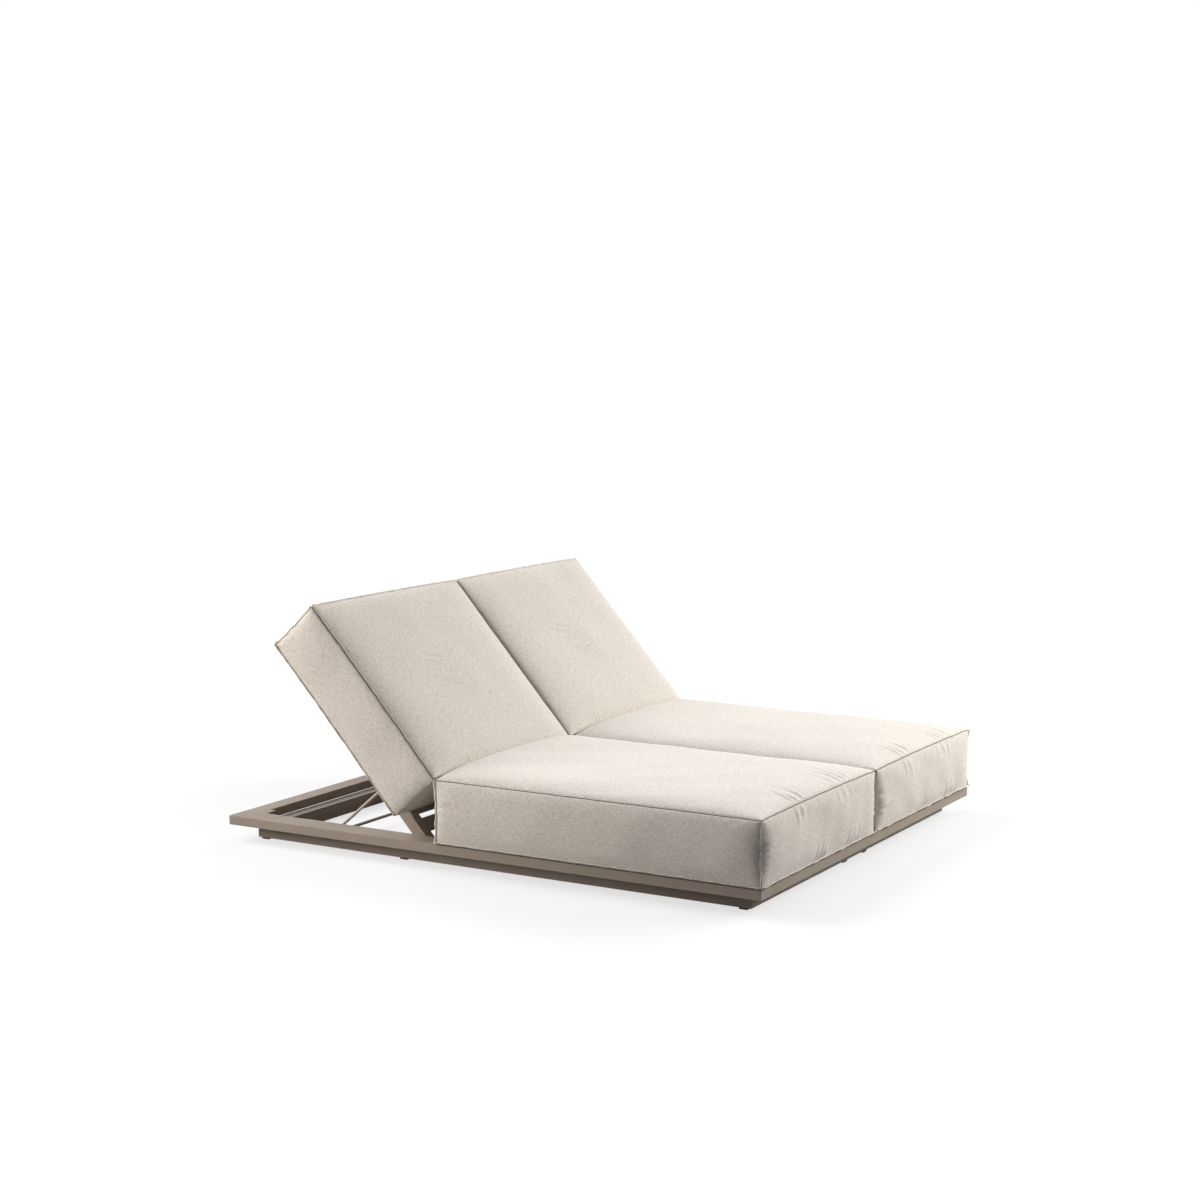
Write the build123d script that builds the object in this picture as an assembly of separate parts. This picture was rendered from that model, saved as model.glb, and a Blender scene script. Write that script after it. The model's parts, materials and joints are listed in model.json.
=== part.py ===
from build123d import *
import math
import os

# Double chaise lounger: two seats side by side on one low frame, each with its own tilting back.
# Millimetres. X runs across the lounger, +Y is the head end, +Z is up, and the floor is z = 0.
# Left is -X and right is +X, as seen from the foot end.

# Overall size
overall_width = 1700
overall_length = 2010

# Top frame rails
rail_height = 31
side_rail_width = 90
end_rail_width = 65
spine_width = 40
tube_wall = 2
end_plate_thickness = 2

# Plinth under the rails
glide_height = 5
glide_length = 28
glide_width = 16
plinth_height = 50
plinth_width = 18
plinth_head_width = 50
plinth_gap = 2
plinth_groove_width = 2
plinth_groove_depth = 1.5
plinth_groove_inset = 33
corner_gusset_width = 52
corner_gusset_length = 25
side_glide_to_hinge = 69
middle_glide_across = 80

# Seat deck
deck_beam_width = 40
seat_slat_count = 9
seat_slat_width = 60
seat_slat_thickness = 6
ledge_width = 15
ledge_thickness = 3

# Cushions
cushion_gap = 2
cushion_thickness = 213
cushion_crown = 26
cushion_waist = 6
cushion_bulge = 6
cover_thickness = 4
seat_rear_to_hinge = 107
back_cushion_length = 712
back_cushion_start = 106
soft_clearance = 0.3

# Tilting backs
rest_angle = 48
hinge_to_head = 740
arm_size = 40
arm_reach = 617
arm_heel = 15
hinge_gap = 2
lower_crossbar_start = 35
back_slat_count = 8
back_slat_width = 60
back_slat_thickness = 3
back_slat_start = 90
end_cap_thickness = 3
end_cap_plug = 12

# Hinge and pivot hardware
bolt_diameter = 8
bolt_head_diameter = 14
bolt_head_height = 5
bolt_tail = 2
nut_across_flats = 12
nut_thickness = 6
bush_wall = 2
bush_flange_diameter = 18
bush_flange_thickness = 1.5
running_clearance = 0.05
head_clearance = 0.3

# Props that hold the backs up
prop_pivot_along = 240
prop_length = 318
prop_diameter = 10
prop_eye_diameter = 20
prop_eye_width = 8
foot_rod_diameter = 11
prop_spacer_thickness = 2
prop_spacer_diameter = 16
foot_height = 36
foot_clearance = 2.5
rod_end_clearance = 4
rod_cap_length = 8

# Stops for the props' feet
rack_thickness = 14
rack_height = 12
rack_margin = 45
stop_angles = (12, 24, 36, 48)
stop_pin_diameter = 6
stop_pin_rise = 5.5
stop_pin_depth = 8
stop_clearance = 0.5
rack_screw_diameter = 5
rack_screw_head_diameter = 8.5
rack_screw_head_height = 4
rack_screw_length = 22
rack_screw_share = 0.125

# Every cut runs past its faces by this much
cut_overrun = 1

# Cushion form, as shares along its length from the end that meets the other cushion
station_shares = (0, 0.1, 0.3, 0.7, 0.9, 1)
crown_shares = (0.04, 0.62, 1, 1, 0.72, 0.3)
waist_shares = (0.15, 0.6, 1, 1, 0.6, 0.15)

# Levels and faces worked out from the sizes above
half_width = overall_width / 2
half_length = overall_length / 2
hinge_along = half_length - hinge_to_head
seat_rear_along = hinge_along - seat_rear_to_hinge
side_glide_along = hinge_along + side_glide_to_hinge
plinth_top = glide_height + plinth_height
frame_top = plinth_top + rail_height
rail_inner = half_width - side_rail_width
end_rail_inner = half_length - end_rail_width
plinth_outer = rail_inner + plinth_width
plinth_end = end_rail_inner - plinth_gap
spine_face = spine_width / 2
plinth_centre_face = plinth_width / 2
slat_bottom = frame_top - seat_slat_thickness
deck_beam_front = seat_rear_along - deck_beam_width
gusset_edge = end_rail_inner - corner_gusset_length
outer_arm = (rail_inner - hinge_gap - arm_size, rail_inner - hinge_gap)
inner_arm = (spine_face + hinge_gap, spine_face + hinge_gap + arm_size)
half_arm = arm_size / 2
hinge_height = frame_top - back_slat_thickness - half_arm
bolt_radius = bolt_diameter / 2
bore_radius = bolt_radius + running_clearance
bush_radius = bolt_radius + bush_wall
prop_radius = prop_diameter / 2
foot_radius = foot_rod_diameter / 2
upper_crossbar_start = arm_reach - arm_size
back_rear_face = half_arm + back_slat_thickness + soft_clearance
cushion_width = half_width - cushion_gap / 2

# The arm walls that the props pivot on, each with the direction along X toward the other arm
prop_faces = ((outer_arm[0], -1), (inner_arm[1], 1))

# The hinge line, with Y up the back and Z out of its front
hinge_place = Pos(0, hinge_along, hinge_height) * Rot(rest_angle, 0, 0)


def box_between(corner, opposite):
    size = [abs(b - a) for a, b in zip(corner, opposite)]
    middle = [(a + b) / 2 for a, b in zip(corner, opposite)]
    return Pos(*middle) * Box(*size)


def tube_between(corner, opposite, along):
    # A box section, hollow from end to end along axis 0, 1 or 2
    low = [min(pair) for pair in zip(corner, opposite)]
    high = [max(pair) for pair in zip(corner, opposite)]
    inner_low = [a - cut_overrun if k == along else a + tube_wall for k, a in enumerate(low)]
    inner_high = [b + cut_overrun if k == along else b - tube_wall for k, b in enumerate(high)]
    return box_between(low, high) - box_between(inner_low, inner_high)


def rod_across(start, end, along, height, radius):
    # A round rod parallel to X
    return Pos((start + end) / 2, along, height) * Rot(0, 90, 0) * Cylinder(radius, abs(end - start))


def hole_across(start, end, along, height, radius):
    # The cutter for a round hole parallel to X, through everything between start and end
    low, high = sorted((start, end))
    return rod_across(low - cut_overrun, high + cut_overrun, along, height, radius)


def nut_across(start, end, along, height):
    # A hexagon nut on an axis parallel to X, two of its flats level
    hexagon = RegularPolygon(nut_across_flats / 2, 6, major_radius=False, rotation=30)
    centre = Pos((start + end) / 2, along, height) * Rot(0, 90, 0)
    body = extrude(centre * hexagon, abs(end - start) / 2, both=True)
    return body - hole_across(start, end, along, height, bolt_radius)


def bolt_across(head_face, tail, along, height):
    # A bolt parallel to X, with its head's inner face at head_face and its shank running to tail
    outward = -1 if tail > head_face else 1
    head_end = head_face + outward * bolt_head_height
    head = rod_across(head_face, head_end, along, height, bolt_head_diameter / 2)
    return head + rod_across(head_face, tail, along, height, bolt_radius)


def as_group(pieces):
    return Compound([solid for piece in pieces for solid in piece.solids()])


def both_sides(pieces):
    return as_group(pieces + [mirror(piece, about=Plane.YZ) for piece in pieces])


def foot_place(angle):
    # Where the prop's foot stands, along Y, with the back at this angle above level
    tilt = math.radians(angle)
    rise = hinge_height + prop_pivot_along * math.sin(tilt) - foot_height
    return hinge_along + prop_pivot_along * math.cos(tilt) + math.sqrt(prop_length**2 - rise**2)


# Top frame: rails, centre spine, corner gussets and the plates that close the tubes

def side_rail():
    rail = tube_between(
        (rail_inner, end_plate_thickness - half_length, plinth_top),
        (half_width, half_length - end_plate_thickness, frame_top),
        1,
    )
    return rail - hole_across(rail_inner, rail_inner + tube_wall, hinge_along, hinge_height, bolt_radius)


def end_rail(direction):
    corner = (-rail_inner, direction * end_rail_inner, plinth_top)
    return tube_between(corner, (rail_inner, direction * half_length, frame_top), 0)


def centre_spine():
    corner = (-spine_face, -end_rail_inner, plinth_top)
    spine = tube_between(corner, (spine_face, end_rail_inner, frame_top), 1)
    return spine - hole_across(-spine_face, spine_face, hinge_along, hinge_height, bolt_radius)


def corner_gussets():
    blocks = []
    for direction in (-1, 1):
        corner = (rail_inner - corner_gusset_width, direction * gusset_edge, plinth_top)
        blocks.append(box_between(corner, (rail_inner, direction * end_rail_inner, frame_top)))
    return both_sides(blocks)


def tube_end_plates():
    plates = []
    for direction in (-1, 1):
        inner = direction * (half_length - end_plate_thickness)
        outer = (half_width, direction * half_length, frame_top)
        plates.append(box_between((rail_inner, inner, plinth_top), outer))
        inner = direction * (plinth_end - end_plate_thickness)
        outer = (plinth_outer, direction * plinth_end, plinth_top)
        plates.append(box_between((rail_inner, inner, glide_height), outer))
    return both_sides(plates)


# Plinth: a ring of tubes with a centre rail, a cross beam each side and glides on the floor

def plinth_side():
    return tube_between(
        (rail_inner, end_plate_thickness - plinth_end, glide_height),
        (plinth_outer, plinth_end - end_plate_thickness, plinth_top),
        1,
    )


def plinth_head():
    corner = (-rail_inner, plinth_end - plinth_head_width, glide_height)
    groove_start = plinth_end - plinth_groove_inset
    groove = box_between(
        (-rail_inner - cut_overrun, groove_start, plinth_top - plinth_groove_depth),
        (rail_inner + cut_overrun, groove_start + plinth_groove_width, plinth_top + cut_overrun),
    )
    return tube_between(corner, (rail_inner, plinth_end, plinth_top), 0) - groove


def plinth_foot():
    corner = (-rail_inner, -plinth_end, glide_height)
    return tube_between(corner, (rail_inner, plinth_width - plinth_end, plinth_top), 0)


def plinth_centre():
    return tube_between(
        (-plinth_centre_face, plinth_width - plinth_end, glide_height),
        (plinth_centre_face, plinth_end - plinth_head_width, plinth_top),
        1,
    )


def cross_beams():
    corner = (plinth_centre_face, deck_beam_front, glide_height)
    return both_sides([tube_between(corner, (rail_inner, seat_rear_along, plinth_top), 0)])


def glide(across, along, width, length):
    return Pos(across, along, glide_height / 2) * Box(width, length, glide_height)


def floor_glides():
    side_middle = rail_inner + plinth_width / 2
    end_middle = plinth_end - plinth_width / 2
    corner_along = plinth_end - glide_length
    pads = [glide(side_middle, y, glide_width, glide_length) for y in (corner_along, -corner_along)]
    pads.append(glide(side_middle, side_glide_along, glide_width, glide_length))
    for along in (end_middle, -end_middle):
        pads.append(glide(middle_glide_across, along, glide_length, glide_width))
    return both_sides(pads)


# Seat deck: an end beam, slats and the ledges that carry them

def deck_end_beams():
    corner = (spine_face, deck_beam_front, plinth_top)
    return both_sides([tube_between(corner, (rail_inner, seat_rear_along, frame_top), 0)])


def seat_slats():
    pitch = (deck_beam_front + gusset_edge) / seat_slat_count
    slats = []
    for number in range(seat_slat_count):
        middle = -gusset_edge + pitch * (number + 0.5)
        corner = (spine_face, middle - seat_slat_width / 2, slat_bottom)
        slats.append(box_between(corner, (rail_inner, middle + seat_slat_width / 2, frame_top)))
    return as_group(slats)


def slat_ledges():
    bottom = slat_bottom - ledge_thickness
    ledges = []
    for inner in (spine_face, rail_inner - ledge_width):
        corner = (inner, -gusset_edge, bottom)
        ledges.append(box_between(corner, (inner + ledge_width, deck_beam_front, slat_bottom)))
    return both_sides(ledges)


# Cushions: crowned boxes whose long seams draw in and whose sides swell a little

def cushion_section(along, half, thickness, crown, swell):
    low_left, low_right = Vector(-half, along, 0), Vector(half, along, 0)
    top_left, top_right = Vector(-half, along, thickness), Vector(half, along, thickness)
    edges = [
        Line(low_left, low_right),
        ThreePointArc(low_right, Vector(half + swell, along, thickness / 2), top_right),
        ThreePointArc(top_right, Vector(0, along, thickness + crown), top_left),
        ThreePointArc(top_left, Vector(-half - swell, along, thickness / 2), low_left),
    ]
    return make_face(edges)


def cushion(length, inset):
    # Lies on z = 0 from y = 0; an inset makes the smaller foam core inside the cover
    half = cushion_width / 2 - inset
    run = length - 2 * inset
    thickness = cushion_thickness - 2 * inset
    sections = []
    for station, crown, waist in zip(station_shares, crown_shares, waist_shares):
        drawn = half - cushion_waist * waist
        swell = cushion_bulge * waist
        sections.append(cushion_section(station * run, drawn, thickness, cushion_crown * crown, swell))
    return Pos(0, inset, inset) * loft(sections)


def cushion_pair(length):
    # The cover and the foam core of one cushion, on the right-hand half
    across = Pos(half_width - cushion_width / 2, 0, 0)
    core = cushion(length, cover_thickness)
    return [across * (cushion(length, 0) - core), across * core]


def seat_cushion():
    place = Pos(0, seat_rear_along, frame_top + soft_clearance)
    return [place * mirror(piece, about=Plane.XZ) for piece in cushion_pair(seat_rear_along + half_length)]


def back_cushion():
    place = hinge_place * Pos(0, back_cushion_start, back_rear_face)
    return [place * piece for piece in cushion_pair(back_cushion_length)]


# Tilting back: two arms, two crossbars, slats, caps, bushes and the prop's pivot bolts

def back_arm(faces, prop_face, toward):
    arm = tube_between((faces[0], -arm_heel, -half_arm), (faces[1], arm_reach, half_arm), 1)
    arm -= hole_across(*faces, 0, 0, bush_radius)
    arm -= hole_across(prop_face, prop_face - toward * tube_wall, prop_pivot_along, 0, bolt_radius)
    return hinge_place * arm


def back_crossbar(start):
    corner = (inner_arm[1], start, -half_arm)
    return hinge_place * tube_between(corner, (outer_arm[0], start + arm_size, half_arm), 0)


def back_slats():
    pitch = (arm_reach - back_slat_start - back_slat_width) / (back_slat_count - 1)
    slats = []
    for number in range(back_slat_count):
        start = back_slat_start + pitch * number
        opposite = (outer_arm[1], start + back_slat_width, half_arm + back_slat_thickness)
        slats.append(hinge_place * box_between((inner_arm[0], start, half_arm), opposite))
    return as_group(slats)


def arm_end_cap(faces, end, direction):
    # A plate over the tube's end with a plug inside it; direction is +1 at the top, -1 at the heel
    outer = (faces[1], end + direction * end_cap_thickness, half_arm)
    plate = box_between((faces[0], end, -half_arm), outer)
    inside = half_arm - tube_wall
    corner = (faces[0] + tube_wall, end, -inside)
    plug = box_between(corner, (faces[1] - tube_wall, end - direction * end_cap_plug, inside))
    return hinge_place * (plate + plug - hole_across(*faces, 0, 0, bush_radius))


def arm_end_caps():
    ends = ((arm_reach, 1), (-arm_heel, -1))
    return as_group([arm_end_cap(faces, *end) for faces in (outer_arm, inner_arm) for end in ends])


def hinge_bush(faces, arm_face, outward):
    # A sleeve through the arm with a flange on one face that keeps it off the rail
    flange_end = arm_face + outward * bush_flange_thickness
    flange = rod_across(arm_face, flange_end, 0, 0, bush_flange_diameter / 2)
    sleeve = rod_across(*faces, 0, 0, bush_radius) + flange
    for start in faces:
        sleeve -= hole_across(start, flange_end, 0, 0, bore_radius)
    return hinge_place * sleeve


def hinge_bushes():
    return as_group([hinge_bush(outer_arm, outer_arm[1], 1), hinge_bush(inner_arm, inner_arm[0], -1)])


def hinge_bolts():
    tail = tube_wall + nut_thickness + bolt_tail
    outer = bolt_across(outer_arm[0] - head_clearance, rail_inner + tail, hinge_along, hinge_height)
    inner = bolt_across(inner_arm[1] + head_clearance, spine_face - tail, hinge_along, hinge_height)
    return both_sides([outer, inner])


def hinge_nuts():
    outer_face = rail_inner + tube_wall
    inner_face = spine_face - tube_wall
    outer = nut_across(outer_face, outer_face + nut_thickness, hinge_along, hinge_height)
    inner = nut_across(inner_face, inner_face - nut_thickness, hinge_along, hinge_height)
    return both_sides([outer, inner])


def prop_bolts():
    bolts = []
    for face, toward in prop_faces:
        head_face = face + toward * (prop_spacer_thickness + prop_eye_width + head_clearance)
        tail = face - toward * (tube_wall + nut_thickness + bolt_tail)
        bolts.append(hinge_place * bolt_across(head_face, tail, prop_pivot_along, 0))
    return as_group(bolts)


def prop_nuts():
    nuts = []
    for face, toward in prop_faces:
        seat = face - toward * tube_wall
        nuts.append(hinge_place * nut_across(seat, seat - toward * nut_thickness, prop_pivot_along, 0))
    return as_group(nuts)


def prop_spacers():
    spacers = []
    for face, toward in prop_faces:
        end = face + toward * prop_spacer_thickness
        ring = rod_across(face, end, prop_pivot_along, 0, prop_spacer_diameter / 2)
        spacers.append(hinge_place * (ring - hole_across(face, end, prop_pivot_along, 0, bolt_radius)))
    return as_group(spacers)


# Prop: two round legs with flattened eyes, joined by the rod that stands on the racks

pivot_tilt = math.radians(rest_angle)
pivot_along = hinge_along + prop_pivot_along * math.cos(pivot_tilt)
pivot_height = hinge_height + prop_pivot_along * math.sin(pivot_tilt)
foot_along = foot_place(rest_angle)


def prop_leg(face, toward):
    middle = face + toward * (prop_spacer_thickness + prop_eye_width / 2)
    ends = (middle - prop_eye_width / 2, middle + prop_eye_width / 2)
    top = Vector(middle, pivot_along, pivot_height)
    foot = Vector(middle, foot_along, foot_height)
    from_top = (Align.CENTER, Align.CENTER, Align.MIN)
    stem = Plane(origin=top, z_dir=foot - top) * Cylinder(prop_radius, prop_length, align=from_top)
    stem -= hole_across(*ends, pivot_along, pivot_height, prop_eye_diameter / 2)
    stem -= hole_across(*ends, foot_along, foot_height, foot_radius)
    eye = rod_across(*ends, pivot_along, pivot_height, prop_eye_diameter / 2)
    return stem + (eye - hole_across(*ends, pivot_along, pivot_height, bore_radius))


rod_ends = (plinth_centre_face + rod_end_clearance, rail_inner - rod_end_clearance)
cap_ends = (rod_ends[0] + rod_cap_length, rod_ends[1] - rod_cap_length)


def prop_foot_rod():
    return rod_across(*cap_ends, foot_along, foot_height, foot_radius)


def rod_end_caps():
    pairs = zip(rod_ends, cap_ends)
    return as_group([rod_across(start, end, foot_along, foot_height, foot_radius) for start, end in pairs])


# Racks: a bar on each side of the prop's path, with a row of pins that stop the foot. Each bar's
# faces are the one on the plinth first and the open one second.

rack_faces = (
    (rail_inner, rail_inner - rack_thickness),
    (plinth_centre_face, plinth_centre_face + rack_thickness),
)
pin_top = foot_height - foot_radius - foot_clearance
rack_top = pin_top - stop_pin_rise
rack_start = foot_place(rest_angle) - rack_margin
rack_end = foot_place(0) + rack_margin


def stop_pins():
    pins = []
    radius = stop_pin_diameter / 2
    from_top = (Align.CENTER, Align.CENTER, Align.MAX)
    for plinth_face, open_face in rack_faces:
        for angle in stop_angles:
            along = foot_place(angle) + foot_radius + radius + stop_clearance
            place = Pos((plinth_face + open_face) / 2, along, pin_top)
            pins.append(place * Cylinder(radius, stop_pin_rise + stop_pin_depth, align=from_top))
    return pins


def rack_screw(plinth_face, open_face, along):
    # The head stands on the rack's open face and the shank runs through into the plinth
    height = rack_top - rack_height / 2
    outward = 1 if open_face > plinth_face else -1
    head_end = open_face + outward * rack_screw_head_height
    head = rod_across(open_face, head_end, along, height, rack_screw_head_diameter / 2)
    shank_end = open_face - outward * rack_screw_length
    return head + rod_across(open_face, shank_end, along, height, rack_screw_diameter / 2)


def rack_screws():
    edge = rack_screw_share * (rack_end - rack_start)
    places = (rack_start + edge, rack_end - edge)
    return [rack_screw(*faces, along) for faces in rack_faces for along in places]


def rack_bars():
    bars = []
    fixings = stop_pins() + rack_screws()
    for plinth_face, open_face in rack_faces:
        corner = (plinth_face, rack_start, rack_top - rack_height)
        bar = box_between(corner, (open_face, rack_end, rack_top))
        for fixing in fixings:
            bar -= fixing
        bars.append(bar)
    return both_sides(bars)


def drilled_for_racks(plinth_tube):
    for screw in rack_screws():
        plinth_tube -= screw
        plinth_tube -= mirror(screw, about=Plane.YZ)
    return plinth_tube


def write(name, shape):
    export_step(as_group([shape]), os.path.join("parts", name + ".step"))


def write_pair(name, shape):
    write(name + "_right", shape)
    write(name + "_left", mirror(shape, about=Plane.YZ))


def main():
    os.makedirs("parts", exist_ok=True)
    write_pair("side_rail", side_rail())
    write("head_rail", end_rail(1))
    write("foot_rail", end_rail(-1))
    write("centre_spine", centre_spine())
    write("corner_gussets", corner_gussets())
    write("tube_end_plates", tube_end_plates())
    write_pair("plinth_side", drilled_for_racks(plinth_side()))
    write("plinth_head", plinth_head())
    write("plinth_foot", plinth_foot())
    write("plinth_centre", drilled_for_racks(plinth_centre()))
    write("cross_beams", cross_beams())
    write("floor_glides", floor_glides())
    write("deck_end_beams", deck_end_beams())
    write_pair("seat_slats", seat_slats())
    write("slat_ledges", slat_ledges())
    write("hinge_bolts", hinge_bolts())
    write("hinge_nuts", hinge_nuts())
    write("prop_rack_bars", rack_bars())
    write("rack_stop_pins", both_sides(stop_pins()))
    write("rack_screws", both_sides(rack_screws()))
    for name, pair in (("seat", seat_cushion()), ("back", back_cushion())):
        write_pair(name + "_cushion_cover", pair[0])
        write_pair(name + "_cushion_foam", pair[1])
    write_pair("back_arm_outer", back_arm(outer_arm, *prop_faces[0]))
    write_pair("back_arm_inner", back_arm(inner_arm, *prop_faces[1]))
    write_pair("back_crossbar_lower", back_crossbar(lower_crossbar_start))
    write_pair("back_crossbar_upper", back_crossbar(upper_crossbar_start))
    write_pair("back_slats", back_slats())
    write_pair("arm_end_caps", arm_end_caps())
    write_pair("hinge_bushes", hinge_bushes())
    write_pair("prop_bolts", prop_bolts())
    write_pair("prop_nuts", prop_nuts())
    write_pair("prop_spacers", prop_spacers())
    write_pair("prop_leg_outer", prop_leg(*prop_faces[0]))
    write_pair("prop_leg_inner", prop_leg(*prop_faces[1]))
    write_pair("prop_foot_rod", prop_foot_rod())
    write_pair("rod_end_caps", rod_end_caps())


main()
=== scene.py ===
import json
import math
import bmesh
import bpy
import numpy as np
from mathutils import Matrix, Vector


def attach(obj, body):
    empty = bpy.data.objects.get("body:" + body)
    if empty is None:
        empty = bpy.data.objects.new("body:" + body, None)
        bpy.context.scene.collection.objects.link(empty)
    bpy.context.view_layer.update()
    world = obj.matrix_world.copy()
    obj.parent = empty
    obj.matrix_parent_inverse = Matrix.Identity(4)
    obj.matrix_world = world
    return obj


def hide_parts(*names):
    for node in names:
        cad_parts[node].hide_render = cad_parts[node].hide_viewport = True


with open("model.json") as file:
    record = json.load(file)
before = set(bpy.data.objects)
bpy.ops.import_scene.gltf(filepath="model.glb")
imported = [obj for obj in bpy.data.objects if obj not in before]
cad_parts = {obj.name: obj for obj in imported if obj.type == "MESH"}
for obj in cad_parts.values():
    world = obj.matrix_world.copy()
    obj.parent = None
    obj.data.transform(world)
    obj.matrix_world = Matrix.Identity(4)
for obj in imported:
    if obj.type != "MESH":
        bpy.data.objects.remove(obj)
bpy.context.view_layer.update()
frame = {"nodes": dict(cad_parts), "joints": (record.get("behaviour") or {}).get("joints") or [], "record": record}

# Double chaise lounger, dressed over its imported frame. Metres, +Y is the head end, +Z is up.
record = frame["record"]
print("frame loaded:", len(frame["nodes"]), "nodes")

weave = {
    "colour": (0.713, 0.656, 0.592),  # ecru, linear
    "shadeThread": (0.30, 0.255, 0.205),  # darker threads of the heather
    "paleThread": (0.98, 0.95, 0.91),
    "threadPitch": 0.0016,  # metres from thread to thread
    "heatherSize": 0.0035,  # size of the fine mottling
    "patchSize": 0.0085,  # size of the coarser mottling
    "twillPitch": 0.0058,  # faint diagonal lines
    "twillDrift": 0.012,  # how far these stray from straight
    "twillPlaces": {"perMetre": 22.0, "edges": (0.42, 0.62)},  # they show in places only
    "slub": (0.0017, 0.022),  # width and length of a thicker stretch of thread
    "tone": {"heather": 0.8, "slub": 0.34, "patch": 0.26, "twill": 0.22, "crossing": 0.16},  # weight of each
    "fullTone": 1.4,  # tone at which a thread has gone all the way
    "contrast": 0.95,  # how far the threads go toward the dark and pale ones
    "shadeShare": 0.85,  # the dark ones go a little less far
    "clouds": {"perMetre": 5.0, "edges": (0.35, 0.65), "share": 0.06},  # broad darker areas
    "relief": {"crossing": 0.4, "heather": 0.4},  # beside slubs of 1
    "bump": 0.30, "bumpHeight": 0.0007,
    "roughness": 0.86, "specular": 0.25,
    "sheen": 0.22, "sheenRoughness": 0.45,
}


class NodeBench:  # keeps the building of a node tree short
    def __init__(self, tree):
        self.tree = tree
        tree.nodes.clear()

    def add(self, kind, *given, **values):  # what is given goes into the first sockets
        node = self.tree.nodes.new(kind)
        for key, value in values.items():
            setattr(node, key, value)
        for socket, value in zip(node.inputs, given):
            self.put(socket, value)
        return node

    def fill(self, node, **values):  # sockets by their names
        for key, value in values.items():
            self.put(node.inputs[key], value)
        return node

    def put(self, target, value):  # a socket is linked, a number or colour is set
        if isinstance(value, bpy.types.NodeSocket):
            self.tree.links.new(value, target)
        elif isinstance(value, (tuple, list)) and target.type == "RGBA" and len(value) == 3:
            target.default_value = (*value, 1)
        else:
            target.default_value = value

    def math(self, operation, first, second=0.0):
        return self.add("ShaderNodeMath", first, second, operation=operation).outputs[0]

    def noise(self, vector, scale=1.0, detail=2.0, roughness=0.5):
        node = self.add("ShaderNodeTexNoise")
        return self.fill(node, Vector=vector, Scale=scale, Detail=detail, Roughness=roughness).outputs["Fac"]

    def ramp(self, value, low, high, start=0.0, end=1.0):
        return self.add("ShaderNodeMapRange", value, low, high, start, end, clamp=True).outputs[0]

    def mix(self, factor, first, second):
        node = self.fill(self.add("ShaderNodeMix", data_type="RGBA"), Factor=factor)
        for socket, colour in zip([s for s in node.inputs if s.type == "RGBA"], (first, second)):
            self.put(socket, colour)
        return [s for s in node.outputs if s.type == "RGBA"][0]

    def spotted(self, noise, look, colour, other):  # the other colour where the noise is high
        return self.mix(self.ramp(noise, *look["edges"], 0.0, look["share"]), colour, other)

    def stretched(self, vector, scale):
        return self.fill(self.add("ShaderNodeMapping"), Vector=vector, Scale=scale).outputs[0]

    def bump(self, height, look):
        node = self.add("ShaderNodeBump")
        return self.fill(node, Strength=look["bump"], Distance=look["bumpHeight"], Height=height).outputs[0]

    def onPiece(self):  # places in metres, measured from the piece's own origin
        return self.add("ShaderNodeTexCoord").outputs["Object"]


noiseSpan = (0.3, 0.7)  # nearly all of a noise lies between these


class MaterialBench(NodeBench):
    def __init__(self, name):
        self.material = bpy.data.materials.new(name)
        self.material.use_nodes = True
        super().__init__(self.material.node_tree)

    def shown(self, shader):
        self.add("ShaderNodeOutputMaterial", shader)
        return self.material

    def finish(self, values):
        return self.shown(self.fill(self.add("ShaderNodeBsdfPrincipled"), **values).outputs[0])


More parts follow.
